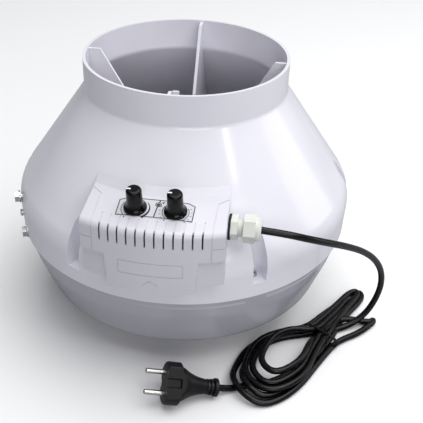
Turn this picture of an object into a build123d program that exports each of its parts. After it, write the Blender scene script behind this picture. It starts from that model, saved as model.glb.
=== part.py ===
from build123d import *
import math
import os

# Inline mixed-flow duct fan for 200 mm duct, with a control box on its side.
# Origin: centre of the inlet spigot's rim. +Z runs along the air flow, from inlet to outlet.
# The control box faces -Y and its cable gland points along +X. All sizes are in millimetres.

# ---- driving dimensions: duct and casing ----
spigot_r = 99.0                 # outside radius of both spigots
wall = 3.0                      # moulded wall of both casings
total_height = 270.0
inlet_spigot_length = 24.0
outlet_spigot_length = 30.4
casing_r = 170.0                # widest radius of the outlet casing
cone_foot_z = 138.3             # where the cone would meet the widest radius
parting_z = 100.0               # where the two casings meet
skirt_r = 168.6                 # outlet casing at the parting
inlet_top_r = 166.8             # inlet casing at the parting
inlet_waist_r = 161.0
inlet_waist_z = 76.0
inlet_corner_r = 146.0
inlet_corner_z = 34.0
shoulder_round = 35.0
corner_round = 12.0
neck_round = 5.0
fit_gap = 0.3                   # clearance between parts that meet round a curve
rim_step = 0.3                  # gap between the two casings at the parting

# ---- motor and impeller ----
hub_top_z = 204.0
hub_top_r = 48.0
hub_r = 62.0
hub_bottom_z = 150.0
vane_thickness = 3.0
vane_count = 4
motor_screw_circle_r = 36.7
motor_screw_angle = -7.5
shaft_r = 4.0
running_gap = 0.04              # radial clearance of a shaft in its hole
bearing_r = 11.0
bearing_height = 7.0
rotor_r = 54.0
rotor_bottom_z = 112.0
rotor_top_z = 184.0
rotor_wall = 2.5
core_r = 44.0
core_bottom_z = 134.0
core_height = 30.0
impeller_r = 138.0
impeller_tip_z = 70.0           # underside of the blades at the rim
impeller_eye_r = 90.0
impeller_eye_z = 60.0
blade_count = 9
blade_thickness = 2.0
nozzle_r = 84.0                 # throat of the inlet nozzle
nozzle_clearance = 2.5          # radial gap between the nozzle and the impeller's eye
nozzle_seat_z = 42.0

# ---- casing screws ----
casing_screw_count = 6
casing_screw_circle_r = 156.5
casing_screw_angle = -57.0
pocket_r = 7.0
pocket_floor_z = 115.0
screw_shank_r = 1.75

# ---- control box ----
box_front_r = 181.0             # front face, round the fan's axis
box_half_width = 63.0
box_side_draft = 3.0            # degrees that each side leans in towards the back
box_top_front_z = 182.9         # top face, where it would meet the front
box_ridge_r = 137.0             # where the top face turns steeper
box_ridge_z = 192.2
box_back_r = 128.3
box_back_z = 198.0
box_edge_round = 6.0
box_wall = 2.5
box_floor_z = 128.0
cover_tongue_z = 121.0
cover_skirt_z = 155.0
tongue_half_width = 38.0
slot_count = 12
slot_pitch = 8.0
slot_width = 1.5
slot_back_r = 176.5             # slots go through outside this radius, and are grooves inside it
slot_groove_r = 166.0
slot_bottom_z = 168.0
groove_depth = 0.6
groove_width = 0.9

# ---- knobs and their shafts ----
knob_offset = 17.4
knob_circle_y = -153.4
knob_height = 22.5
knob_skirt_r = 10.0
knob_cap_r = 7.0
pot_shaft_r = 3.0
pot_bush_r = 3.5
pot_r = 6.0
pot_height = 5.5
knob_gap = 0.6                  # knob skirt over the dial label

# ---- cable gland ----
gland_y = -147.0
gland_z = 175.5
gland_thread_r = 7.6
gland_flange_r = 11.0
gland_gasket_r = 11.4
gland_across_flats = 22.0

# ---- bracket bolts ----
bracket_angle = -155.0
bracket_upper_z = 135.0
bracket_lower_z = 92.5
bracket_screw_z = 116.0
bracket_bolt_r = 3.0
bracket_washer_r = 6.0

# ---- mains cord and plug ----
cord_r = 3.2
plug_head_r = 19.8
plug_turn = 45.0                # degrees that the plug lies turned about its own axis
plug_flat = 13.0
pin_r = 2.4
pin_length = 19.0
pin_spacing = 19.0

os.makedirs("parts", exist_ok=True)


def save(piece, name):
    """Label a finished piece and write it as a STEP file of the same name."""
    piece.label = name
    export_step(piece, "parts/" + name + ".step")


def on_circle(radius, angle):
    """Point at a radius and an angle in degrees round the fan's axis."""
    return radius * math.cos(math.radians(angle)), radius * math.sin(math.radians(angle))


# ---- shapes worked out from the driving dimensions ----
neck_z = total_height - outlet_spigot_length
cone_slope = (casing_r - spigot_r) / (neck_z - cone_foot_z)
cone_step = wall * math.sqrt(1 + cone_slope ** 2)       # cone wall measured horizontally


def cone_radius(z):
    """Outside radius of the outlet casing's cone at a height."""
    return spigot_r + cone_slope * (neck_z - z)


upper_outline = [
    (skirt_r, parting_z),
    (casing_r, cone_foot_z),
    (spigot_r, neck_z),
    (spigot_r, total_height),
]
lower_outline = [
    (inlet_top_r, parting_z - rim_step),
    (inlet_waist_r, inlet_waist_z),
    (inlet_corner_r, inlet_corner_z),
    (spigot_r, inlet_spigot_length),
    (spigot_r, 0),
]
upper_rounds = [shoulder_round, neck_round]
lower_rounds = [60.0, corner_round, neck_round]

# Filled outer shape of each casing. They trim the ribs and bosses that end in a wall.
with BuildPart() as upper_envelope:
    with BuildSketch(Plane.XZ):
        with BuildLine():
            FilletPolyline(upper_outline, radius=upper_rounds)
            Polyline(upper_outline[-1], (0, total_height), (0, parting_z), upper_outline[0])
        make_face()
    revolve(axis=Axis.Z)

with BuildPart() as lower_envelope:
    with BuildSketch(Plane.XZ):
        with BuildLine():
            FilletPolyline(lower_outline, radius=lower_rounds)
            Polyline(lower_outline[-1], (0, 0), (0, parting_z - rim_step), lower_outline[0])
        make_face()
    revolve(axis=Axis.Z)


# ---- outlet casing: cone, outlet spigot, screw pockets, guide vanes and motor hub ----
pocket_back_r = casing_screw_circle_r - 4.5             # back wall of each screw pocket
pocket_centre_r = pocket_back_r + pocket_r
boss_r = pocket_r + wall

with BuildPart() as pocket_bosses:
    with BuildSketch(Plane.XY.offset(parting_z)):
        with PolarLocations(pocket_centre_r, casing_screw_count, start_angle=casing_screw_angle):
            Circle(boss_r)
            with Locations((boss_r, 0)):
                Rectangle(2 * boss_r, 2 * boss_r)
    extrude(amount=neck_z - parting_z)
    add(upper_envelope.part, mode=Mode.INTERSECT)

with BuildPart() as pockets:
    with BuildSketch(Plane.XY.offset(pocket_floor_z)):
        with PolarLocations(pocket_centre_r, casing_screw_count, start_angle=casing_screw_angle):
            Circle(pocket_r)
            with Locations((2 * pocket_r, 0)):
                Rectangle(4 * pocket_r, 2 * pocket_r)
    extrude(amount=neck_z - pocket_floor_z)

vane_foot_z = 163.0
vane_top_z = total_height - 2.0
vane_outline = [
    (spigot_r - wall / 2, vane_top_z),
    (spigot_r - wall / 2, neck_z),
    (cone_radius(vane_foot_z) - wall / 2, vane_foot_z),
    (hub_r - wall / 2, vane_foot_z),
    (hub_r - wall / 2, hub_top_z - 19),
    (hub_top_r - 1, hub_top_z - 2),
    (hub_top_r + 1, hub_top_z + 2),
    (spigot_r - wall - 11, vane_top_z),
]
with BuildPart() as vanes:
    for index in range(vane_count):
        turned = Plane.XZ.rotated((0, 0, 360 / vane_count * index))
        with BuildSketch(turned):
            with BuildLine():
                Polyline(*vane_outline, close=True)
            make_face()
        extrude(amount=vane_thickness / 2, both=True)

with BuildPart() as motor_hub:
    with BuildSketch(Plane.XZ):
        with BuildLine():
            Polyline((0, hub_top_z), (hub_top_r, hub_top_z), (hub_r, hub_top_z - 18), (hub_r, hub_bottom_z),
                     (hub_r - wall, hub_bottom_z), (hub_r - wall, hub_top_z - 18),
                     (hub_top_r - wall, hub_top_z - wall), (0, hub_top_z - wall), close=True)
        make_face()
    revolve(axis=Axis.Z)

lead_z = 168.0                  # height of the motor lead's run to the control box
lead_r = 2.5
lead_x = 6.0
box_gap = 0.3                   # box over the casing it is screwed to
base_screw_x = 40.0
base_screw_z = 136.0
base_screw_planes = []
for x in (-base_screw_x, base_screw_x):
    seat_r = casing_r + box_gap + box_wall + 0.4
    seat_y = -math.sqrt(seat_r ** 2 - x ** 2)
    base_screw_planes.append(Plane(origin=(x, seat_y, base_screw_z), x_dir=(0, 0, 1), z_dir=(x, seat_y, 0)))

with BuildPart() as outlet_casing:
    with BuildSketch(Plane.XZ):
        with BuildLine():
            FilletPolyline(upper_outline, radius=upper_rounds)
            offset(amount=wall, side=Side.LEFT, closed=True)
        make_face()
    revolve(axis=Axis.Z)
    add(pocket_bosses.part)
    add(pockets.part, mode=Mode.SUBTRACT)
    add(vanes.part)
    add(motor_hub.part)
    with PolarLocations(casing_screw_circle_r, casing_screw_count, start_angle=casing_screw_angle):
        with Locations((0, 0, pocket_floor_z)):
            Cylinder(screw_shank_r + 0.35, 3 * (pocket_floor_z - parting_z), mode=Mode.SUBTRACT)
    with PolarLocations(motor_screw_circle_r, 4, start_angle=motor_screw_angle):
        with Locations((0, 0, hub_top_z)):
            Cylinder(2.6, 4 * wall, mode=Mode.SUBTRACT)
    with Locations(Location((lead_x, -cone_radius(lead_z) + wall, lead_z), (90, 0, 0))):
        Cylinder(lead_r + 2.0, 8 * wall, mode=Mode.SUBTRACT)
    with Locations(Location((lead_x, -hub_r, lead_z), (90, 0, 0))):
        Cylinder(lead_r + 0.5, 4 * wall, mode=Mode.SUBTRACT)
    for plane in base_screw_planes:
        with BuildSketch(plane):
            Circle(screw_shank_r + 0.02)
        extrude(amount=-10, mode=Mode.SUBTRACT)
    bracket_plane = Plane(origin=(*on_circle(casing_r, bracket_angle), 0),
                          x_dir=(0, 0, 1), z_dir=(*on_circle(1, bracket_angle), 0))
    with BuildSketch(bracket_plane):
        with Locations((bracket_upper_z, 0)):
            Circle(bracket_bolt_r + 0.3)
        with Locations((bracket_screw_z, 0)):
            Circle(screw_shank_r)
    extrude(amount=6 * wall, both=True, mode=Mode.SUBTRACT)
print("outlet casing volume", round(outlet_casing.part.volume), "solids", len(outlet_casing.part.solids()))
save(outlet_casing.part, "outlet_casing")

# ---- inlet casing: bowl, inlet spigot, locating lip, screw bosses and nozzle seat ----
lip_r = skirt_r - wall - fit_gap                        # lip inside the outlet casing's skirt
seat_r = nozzle_r + 20.0                                # rib that carries the nozzle
nozzle_screw_r = seat_r + 5.0

with BuildPart() as lip:
    with BuildSketch(Plane.XY.offset(parting_z - 9)):
        Circle(lip_r)
        Circle(lip_r - wall, mode=Mode.SUBTRACT)
    extrude(amount=14)
    with BuildSketch(Plane.XY.offset(parting_z - 9)):
        with PolarLocations(casing_r - 6, casing_screw_count, start_angle=casing_screw_angle):
            Rectangle(6 * wall, 2 * boss_r + 2)
    extrude(amount=14, mode=Mode.SUBTRACT)

with BuildPart() as inlet_bosses:
    with BuildSketch(Plane.XY.offset(parting_z - 24)):
        with PolarLocations(casing_screw_circle_r, casing_screw_count, start_angle=casing_screw_angle):
            Circle(6.5)
    extrude(amount=24 - rim_step)
    with BuildSketch(Plane.XY.offset(inlet_spigot_length)):
        Circle(seat_r + 1.5)
        Circle(seat_r - 1.5, mode=Mode.SUBTRACT)
        with PolarLocations(nozzle_screw_r, 4, start_angle=45):
            Circle(4.5)
    extrude(amount=nozzle_seat_z - inlet_spigot_length)
    add(lower_envelope.part, mode=Mode.INTERSECT)

with BuildPart() as inlet_casing:
    with BuildSketch(Plane.XZ):
        with BuildLine():
            FilletPolyline(lower_outline, radius=lower_rounds)
            offset(amount=wall, side=Side.RIGHT, closed=True)
        make_face()
    revolve(axis=Axis.Z)
    add(lower_envelope.part, mode=Mode.INTERSECT)
    add(lip.part)
    add(inlet_bosses.part)
    with PolarLocations(casing_screw_circle_r, casing_screw_count, start_angle=casing_screw_angle):
        with Locations((0, 0, parting_z)):
            Cylinder(screw_shank_r + 0.02, 34, mode=Mode.SUBTRACT)
    with PolarLocations(nozzle_screw_r, 4, start_angle=45):
        with Locations((0, 0, nozzle_seat_z)):
            Cylinder(screw_shank_r + 0.02, 18, mode=Mode.SUBTRACT)
    with BuildSketch(bracket_plane):
        with Locations((bracket_lower_z, 0)):
            Circle(bracket_bolt_r + 0.3)
    extrude(amount=6 * wall, both=True, mode=Mode.SUBTRACT)
save(inlet_casing.part, "inlet_casing")

# ---- inlet nozzle: bell mouth that leads the air into the impeller's eye ----
bell_r = 11.0
nozzle_wall = 2.0
with BuildPart() as inlet_nozzle:
    with BuildSketch(Plane.XZ):
        with BuildLine():
            Line((nozzle_r, impeller_eye_z + 3), (nozzle_r, nozzle_seat_z + bell_r))
            RadiusArc((nozzle_r, nozzle_seat_z + bell_r), (nozzle_r + bell_r, nozzle_seat_z), -bell_r)
            Line((nozzle_r + bell_r, nozzle_seat_z), (nozzle_screw_r + 5, nozzle_seat_z))
            offset(amount=nozzle_wall, side=Side.LEFT, closed=True)
        make_face()
    revolve(axis=Axis.Z)
    with PolarLocations(nozzle_screw_r, 4, start_angle=45):
        with Locations((0, 0, nozzle_seat_z)):
            Cylinder(screw_shank_r + 0.4, 10, mode=Mode.SUBTRACT)
save(inlet_nozzle.part, "inlet_nozzle")


def screw(plane, head_r, head_height, shank_r, shank_length):
    """Pan-head screw on a plane: head above it with a cross recess, shank below it."""
    with BuildPart() as made:
        with BuildSketch(plane):
            Circle(head_r)
        extrude(amount=head_height)
        fillet(made.edges().group_by(Axis(plane.origin, plane.z_dir))[-1], head_height * 0.4)
        with BuildSketch(plane.offset(head_height)):
            Rectangle(head_r * 1.1, head_r * 0.3)
            Rectangle(head_r * 0.3, head_r * 1.1)
        extrude(amount=-head_height * 0.5, mode=Mode.SUBTRACT)
        with BuildSketch(plane):
            Circle(shank_r)
        extrude(amount=-shank_length)
    return made.part


def save_group(pieces, name):
    """Write identical fasteners as one node of separate solids."""
    save(Compound(children=[piece for piece in pieces]), name)


def planes_round(radius, count, start, z):
    """Horizontal planes spaced evenly round the fan's axis."""
    return [Plane(origin=(*on_circle(radius, start + 360 / count * i), z)) for i in range(count)]


# ---- screws of the casings, the nozzle and the motor ----
casing_screw_planes = planes_round(casing_screw_circle_r, casing_screw_count, casing_screw_angle, pocket_floor_z)
save_group([screw(p, 3.5, 2.6, screw_shank_r, pocket_floor_z - parting_z + 14) for p in casing_screw_planes],
           "casing_screws")
nozzle_screw_planes = planes_round(nozzle_screw_r, 4, 45, nozzle_seat_z + nozzle_wall)
save_group([screw(p, 3.2, 2.2, screw_shank_r, nozzle_wall + 8) for p in nozzle_screw_planes], "nozzle_screws")

washer_height = 2.0
motor_washer_planes = planes_round(motor_screw_circle_r, 4, motor_screw_angle, hub_top_z)
with BuildPart() as motor_washers:
    with BuildSketch(Plane.XY.offset(hub_top_z)):
        with PolarLocations(motor_screw_circle_r, 4, start_angle=motor_screw_angle):
            Circle(6.0)
            Circle(2.6, mode=Mode.SUBTRACT)
    extrude(amount=washer_height)
save(motor_washers.part, "motor_washers")
flange_height = 5.0
save_group([screw(p.offset(washer_height), 4.8, 4.6, 2.0, washer_height + wall + flange_height - 1)
            for p in motor_washer_planes], "motor_screws")

# ---- motor: stator flange with its bearing tube, core, windings and bearings ----
flange_top_z = hub_top_z - wall
tube_r = bearing_r + 2.0
tube_bottom_z = rotor_bottom_z + rotor_wall + 6
with BuildPart() as stator_flange:
    with BuildSketch(Plane.XY.offset(flange_top_z - flange_height)):
        Circle(hub_top_r - wall - 1)
    extrude(amount=flange_height)
    with BuildSketch(Plane.XY.offset(tube_bottom_z)):
        Circle(tube_r)
    extrude(amount=flange_top_z - flange_height - tube_bottom_z)
    with BuildSketch(Plane.XY.offset(tube_bottom_z)):
        Circle(bearing_r)
    extrude(amount=flange_top_z - flange_height - tube_bottom_z - 2, mode=Mode.SUBTRACT)
    with PolarLocations(motor_screw_circle_r, 4, start_angle=motor_screw_angle):
        with Locations((0, 0, flange_top_z)):
            Cylinder(2.02, 2 * flange_height + 1, mode=Mode.SUBTRACT)
save(stator_flange.part, "stator_flange")

slot_openings = 12
with BuildPart() as stator_core:
    with BuildSketch(Plane.XY.offset(core_bottom_z)):
        Circle(core_r)
        with PolarLocations(core_r - 8, slot_openings):
            SlotOverall(15, 6, mode=Mode.SUBTRACT)
        with PolarLocations(core_r, slot_openings):
            Rectangle(6, 2.2, mode=Mode.SUBTRACT)
        Circle(tube_r, mode=Mode.SUBTRACT)
    extrude(amount=core_height)
save(stator_core.part, "stator_core")

winding_height = 10.0
with BuildPart() as stator_windings:
    for base_z in (core_bottom_z - winding_height, core_bottom_z + core_height):
        with BuildSketch(Plane.XY.offset(base_z)):
            Circle(core_r - 2)
            Circle(core_r - 16, mode=Mode.SUBTRACT)
        extrude(amount=winding_height)
    fillet(stator_windings.edges().filter_by(GeomType.CIRCLE), 3)
save(stator_windings.part, "stator_windings")


def bearing(name, base_z):
    """Shielded ball bearing with the shaft's running clearance in its bore."""
    with BuildPart() as made:
        with BuildSketch(Plane.XY.offset(base_z)):
            Circle(bearing_r)
            Circle(shaft_r + running_gap, mode=Mode.SUBTRACT)
        extrude(amount=bearing_height)
        for face_z in (base_z, base_z + bearing_height - 0.6):
            with BuildSketch(Plane.XY.offset(face_z)):
                Circle(bearing_r - 1.8)
                Circle(shaft_r + 1.6, mode=Mode.SUBTRACT)
            extrude(amount=0.6, mode=Mode.SUBTRACT)
    save(made.part, name)


upper_bearing_z = flange_top_z - flange_height - 2 - bearing_height
bearing("upper_bearing", upper_bearing_z)
bearing("lower_bearing", tube_bottom_z)

# ---- rotor: can, cage ring and shaft ----
with BuildPart() as rotor_can:
    with BuildSketch(Plane.XZ):
        with BuildLine():
            Polyline((shaft_r, rotor_bottom_z), (rotor_r + 9, rotor_bottom_z), (rotor_r + 9, rotor_bottom_z + rotor_wall),
                     (rotor_r, rotor_bottom_z + rotor_wall), (rotor_r, rotor_top_z),
                     (rotor_r - rotor_wall, rotor_top_z), (rotor_r - rotor_wall, rotor_bottom_z + rotor_wall),
                     (shaft_r + 5, rotor_bottom_z + rotor_wall), (shaft_r + 5, tube_bottom_z - 1),
                     (shaft_r, tube_bottom_z - 1), close=True)
        make_face()
    revolve(axis=Axis.Z)
    with PolarLocations(rotor_r + 5.5, 6):
        with Locations((0, 0, rotor_bottom_z)):
            Cylinder(1.5, 4 * rotor_wall, mode=Mode.SUBTRACT)
save(rotor_can.part, "rotor_can")

air_gap = 0.8
with BuildPart() as rotor_cage:
    with BuildSketch(Plane.XY.offset(core_bottom_z - 1)):
        Circle(rotor_r - rotor_wall)
        Circle(core_r + air_gap, mode=Mode.SUBTRACT)
    extrude(amount=core_height + 2)
save(rotor_cage.part, "rotor_cage")

with BuildPart() as rotor_shaft:
    with BuildSketch(Plane.XY.offset(rotor_bottom_z)):
        Circle(shaft_r)
    extrude(amount=upper_bearing_z + bearing_height - rotor_bottom_z)
    chamfer(rotor_shaft.edges().filter_by(GeomType.CIRCLE), 0.5)
save(rotor_shaft.part, "rotor_shaft")

# ---- impeller: backward-curved blades between a backplate and a shroud ----
backplate_z = rotor_bottom_z - 2.0
backplate_thickness = 2.0
with BuildPart() as impeller_backplate:
    with BuildSketch(Plane.XY.offset(backplate_z)):
        Circle(impeller_r)
        Circle(20, mode=Mode.SUBTRACT)
        with PolarLocations(rotor_r + 5.5, 6):
            Circle(1.7, mode=Mode.SUBTRACT)
    extrude(amount=backplate_thickness)
save(impeller_backplate.part, "impeller_backplate")

rim_gap = nozzle_clearance + nozzle_wall
shroud_thickness = 2.0
shroud_outline = [
    (nozzle_r + rim_gap, impeller_eye_z - 6),
    (nozzle_r + rim_gap, impeller_eye_z),
    (impeller_eye_r + 12, impeller_eye_z + 5),
    (impeller_r, impeller_tip_z),
]
with BuildPart() as impeller_shroud:
    with BuildSketch(Plane.XZ):
        with BuildLine():
            FilletPolyline(shroud_outline, radius=[4, 8])
            offset(amount=shroud_thickness, side=Side.RIGHT, closed=True)
        make_face()
    revolve(axis=Axis.Z)
save(impeller_shroud.part, "impeller_shroud")

with BuildPart() as shroud_room:
    with BuildSketch(Plane.XZ):
        with BuildLine():
            FilletPolyline(shroud_outline, radius=[4, 8])
            Polyline(shroud_outline[-1], (impeller_r, backplate_z), (nozzle_r - 20, backplate_z),
                     (nozzle_r - 20, impeller_eye_z - 6), shroud_outline[0])
        make_face()
    revolve(axis=Axis.Z)
    with BuildSketch(Plane.XY.offset(impeller_eye_z - 8)):
        Circle(nozzle_r + rim_gap)
    extrude(amount=14, mode=Mode.SUBTRACT)

with BuildPart() as impeller_blades:
    with BuildSketch(Plane.XY.offset(impeller_eye_z - 6)):
        with BuildLine():
            inner_end = on_circle(nozzle_r - 6, 0)
            outer_end = on_circle(impeller_r - 0.5, -42)
            RadiusArc(inner_end, outer_end, 95)
            offset(amount=blade_thickness, side=Side.LEFT, closed=True)
        make_face()
    extrude(amount=backplate_z - impeller_eye_z + 6)
    add(shroud_room.part, mode=Mode.INTERSECT)
one_blade = impeller_blades.part
save_group([one_blade.rotate(Axis.Z, 360 / blade_count * i) for i in range(blade_count)], "impeller_blades")

rivet_planes = planes_round(rotor_r + 5.5, 6, 0, backplate_z)
rivets = []
for p in rivet_planes:
    with BuildPart() as rivet:
        with BuildSketch(p):
            Circle(1.5)
        extrude(amount=backplate_thickness + rotor_wall)
        with BuildSketch(p.offset(-1.2)):
            Circle(2.8)
        extrude(amount=1.2)
        with BuildSketch(p.offset(backplate_thickness + rotor_wall)):
            Circle(2.8)
        extrude(amount=1.2)
    rivets.append(rivet.part)
save_group(rivets, "impeller_rivets")

# ---- control box: envelope, cover and base ----


def box_section(inset, floor_z):
    """Solid of revolution under the box's top and front, moved in by inset, down to floor_z."""
    with BuildPart() as section:
        with BuildSketch(Plane.XZ):
            with BuildLine():
                FilletPolyline((box_front_r - inset, floor_z), (box_front_r - inset, box_top_front_z - inset),
                               (box_ridge_r, box_ridge_z - inset), radius=box_edge_round - inset)
                Polyline((box_ridge_r, box_ridge_z - inset), (box_back_r, box_back_z - inset),
                         (box_back_r - 30, box_back_z + 20), (box_back_r - 30, floor_z),
                         (box_front_r - inset, floor_z))
            make_face()
        revolve(axis=Axis.Z)
    return section.part


def box_slab(inset):
    """Block between the box's two leaning sides, moved in by inset."""
    lean = math.tan(math.radians(box_side_draft))
    front_y = -box_front_r - 10
    back_y = -60.0
    front_x = box_half_width - inset + lean * 15
    back_x = front_x - lean * (back_y - front_y)
    with BuildPart() as slab:
        with BuildSketch(Plane.XY.offset(100)):
            with BuildLine():
                Polyline((-front_x, front_y), (front_x, front_y), (back_x, back_y), (-back_x, back_y), close=True)
            make_face()
        extrude(amount=130)
    return slab.part


with BuildPart() as casing_clearance:
    with BuildSketch(Plane.XZ):
        with BuildLine():
            FilletPolyline([(r + box_gap, z) for r, z in upper_outline], radius=upper_rounds)
            Polyline((spigot_r + box_gap, total_height), (0, total_height), (0, parting_z),
                     (skirt_r + box_gap, parting_z))
        make_face()
    revolve(axis=Axis.Z)

with BuildPart() as box_envelope:
    add(box_section(0, cover_tongue_z))
    add(box_slab(0), mode=Mode.INTERSECT)
    add(casing_clearance.part, mode=Mode.SUBTRACT)

# Grooves cut groove_depth into the cover: name panel, end lines and the lines beside the knobs.
panel_half_width = 28.0
panel_low_z = 139.0
panel_high_z = 152.0
side_line_x = 52.0
with BuildPart() as front_grooves:
    with BuildSketch(Plane.XZ):
        with Locations((0, (panel_low_z + panel_high_z) / 2)):
            Rectangle(2 * panel_half_width + groove_width, panel_high_z - panel_low_z + groove_width)
            Rectangle(2 * panel_half_width - groove_width, panel_high_z - panel_low_z - groove_width,
                      mode=Mode.SUBTRACT)
        for side in (-1, 1):
            with Locations((side * (side_line_x + 6), slot_bottom_z)):
                Rectangle(13, groove_width)
        with BuildLine():
            Polyline((-6.5, 129.5), (0, 134.5), (6.5, 129.5), (6.5, 128.2), (0, 133.1), (-6.5, 128.2), close=True)
        make_face()
    extrude(amount=box_front_r + 5)
    add(box_section(groove_depth, cover_tongue_z - 5), mode=Mode.SUBTRACT)

with BuildPart() as top_grooves:
    with BuildSketch(Plane.XY.offset(box_floor_z)):
        for side in (-1, 1):
            with BuildLine():
                Polyline((side * (side_line_x + 8), -130), (side * side_line_x, -137),
                         (side * side_line_x, -box_front_r), (side * (side_line_x - groove_width), -box_front_r),
                         (side * (side_line_x - groove_width), -136.6),
                         (side * (side_line_x + 8), -128.8), close=True)
            make_face()
    extrude(amount=box_back_z - box_floor_z)
    add(box_section(groove_depth, cover_tongue_z - 5), mode=Mode.SUBTRACT)

with BuildPart() as vent_slots:
    with BuildSketch(Plane.XZ):
        for index in range(slot_count):
            with Locations(((index - (slot_count - 1) / 2) * slot_pitch, slot_bottom_z + 15)):
                Rectangle(slot_width, 30)
    extrude(amount=box_front_r + 5)
    with BuildSketch(Plane.XY):
        Circle(slot_back_r)
    extrude(amount=total_height, mode=Mode.SUBTRACT)

# Shallow run of each slot across the top face.
with BuildPart() as slot_grooves:
    with BuildSketch(Plane.XZ):
        for index in range(slot_count):
            with Locations(((index - (slot_count - 1) / 2) * slot_pitch, slot_bottom_z + 15)):
                Rectangle(groove_width, 30)
    extrude(amount=box_front_r + 5)
    with BuildSketch(Plane.XY):
        Circle(slot_groove_r)
    extrude(amount=total_height, mode=Mode.SUBTRACT)
    add(box_section(groove_depth, cover_tongue_z - 5), mode=Mode.SUBTRACT)

panel_tilt = math.degrees(math.atan2(box_ridge_z - box_top_front_z, box_front_r - box_ridge_r))
knob_z = box_ridge_z + (box_ridge_r + knob_circle_y) * math.tan(math.radians(panel_tilt))


def panel_plane(x, lift=0.0):
    """Plane on the box's top face beside x, facing out along the knob's axis."""
    tilt = math.radians(panel_tilt)
    plane = Plane(origin=(x, knob_circle_y, knob_z), x_dir=(1, 0, 0), z_dir=(0, -math.sin(tilt), math.cos(tilt)))
    return plane.offset(lift)


knob_planes = {"speed": panel_plane(-knob_offset), "temperature": panel_plane(knob_offset)}
lens_plane = Plane(origin=panel_plane(1.5).from_local_coords((0, 6.5, 0)), x_dir=(1, 0, 0),
                   z_dir=panel_plane(0).z_dir)
lens_r = 1.5

with BuildPart() as control_box_cover:
    add(box_envelope.part)
    add(box_section(box_wall, cover_tongue_z - 5), mode=Mode.SUBTRACT)
    with BuildSketch(Plane.XZ):
        for side in (-1, 1):
            with BuildLine():
                Polyline((side * tongue_half_width, cover_tongue_z - 5), (side * (tongue_half_width + 3), cover_skirt_z),
                         (side * 80, cover_skirt_z), (side * 80, cover_tongue_z - 5), close=True)
            make_face()
    extrude(amount=box_front_r + 5, mode=Mode.SUBTRACT)
    add(front_grooves.part, mode=Mode.SUBTRACT)
    add(top_grooves.part, mode=Mode.SUBTRACT)
    add(vent_slots.part, mode=Mode.SUBTRACT)
    add(slot_grooves.part, mode=Mode.SUBTRACT)
    for plane in knob_planes.values():
        with BuildSketch(plane):
            Circle(pot_bush_r + 0.1)
        extrude(amount=2 * box_wall + 4, both=True, mode=Mode.SUBTRACT)
    with BuildSketch(lens_plane):
        Circle(lens_r + 0.05)
    extrude(amount=2 * box_wall, both=True, mode=Mode.SUBTRACT)
print("cover solids", len(control_box_cover.part.solids()))
save(control_box_cover.part, "control_box_cover")

cover_fit = 0.2                 # cover over the base
front_wall_r = box_front_r - box_wall - cover_fit
gland_hole_r = gland_thread_r + 0.2
with BuildPart() as base_room:
    with BuildSketch(Plane.XZ):
        with BuildLine():
            Polyline((60, box_floor_z + box_wall), (front_wall_r - box_wall, box_floor_z + box_wall),
                     (front_wall_r - box_wall, cover_skirt_z + 1), (box_front_r + 5, cover_skirt_z + 1),
                     (box_front_r + 5, total_height), (60, total_height), close=True)
        make_face()
    revolve(axis=Axis.Z)
    add(box_slab(box_wall), mode=Mode.INTERSECT)

with BuildPart() as base_backing:
    with BuildSketch(Plane.XZ):
        with BuildLine():
            FilletPolyline([(r + box_gap + box_wall, z) for r, z in upper_outline], radius=upper_rounds)
            Polyline((spigot_r + box_gap + box_wall, total_height), (0, total_height), (0, parting_z),
                     (skirt_r + box_gap + box_wall, parting_z))
        make_face()
    revolve(axis=Axis.Z)

with BuildPart() as base_cavity:
    add(base_room.part)
    add(base_backing.part, mode=Mode.SUBTRACT)

gland_plane = Plane(origin=(0, gland_y, gland_z), x_dir=(0, 1, 0), z_dir=(1, 0, 0))
side_x = box_half_width - math.tan(math.radians(box_side_draft)) * (gland_y + box_front_r - 5)
pad_x = side_x + 1.0            # flat pad on the leaning side, for the gland
with BuildPart() as control_box_base:
    add(box_section(box_wall + cover_fit, box_floor_z))
    add(box_slab(0), mode=Mode.INTERSECT)
    add(casing_clearance.part, mode=Mode.SUBTRACT)
    add(base_cavity.part, mode=Mode.SUBTRACT)
    with BuildSketch(gland_plane.offset(side_x - 2 * box_wall)):
        Circle(gland_gasket_r + 0.5)
    extrude(amount=pad_x - side_x + 2 * box_wall)
    add(box_section(box_wall + cover_fit, box_floor_z), mode=Mode.INTERSECT)
    with BuildSketch(gland_plane.offset(side_x - 4 * box_wall)):
        Circle(gland_gasket_r + 1)
    extrude(amount=3 * box_wall - 0.5, mode=Mode.SUBTRACT)
    with BuildSketch(gland_plane.offset(side_x - 8 * box_wall)):
        Circle(gland_hole_r)
    extrude(amount=12 * box_wall, mode=Mode.SUBTRACT)
    add(casing_clearance.part, mode=Mode.SUBTRACT)
    with Locations(Location((lead_x, -cone_radius(lead_z), lead_z), (90, 0, 0))):
        Cylinder(lead_r + 2.0, 14, mode=Mode.SUBTRACT)
    for plane in base_screw_planes:
        with BuildSketch(plane):
            Circle(screw_shank_r + 0.1)
        extrude(amount=-10, mode=Mode.SUBTRACT)
        with BuildSketch(plane):
            Circle(3.0)
        extrude(amount=2.2, mode=Mode.SUBTRACT)
print("base solids", len(control_box_base.part.solids()), "side at gland", round(side_x, 2), "panel tilt",
      round(panel_tilt, 2), "knob z", round(knob_z, 2))
save(control_box_base.part, "control_box_base")


# ---- screws that hold the box's base to the casing ----
save_group([screw(p, 2.6, 1.6, screw_shank_r, 8) for p in base_screw_planes], "base_screws")

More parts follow.
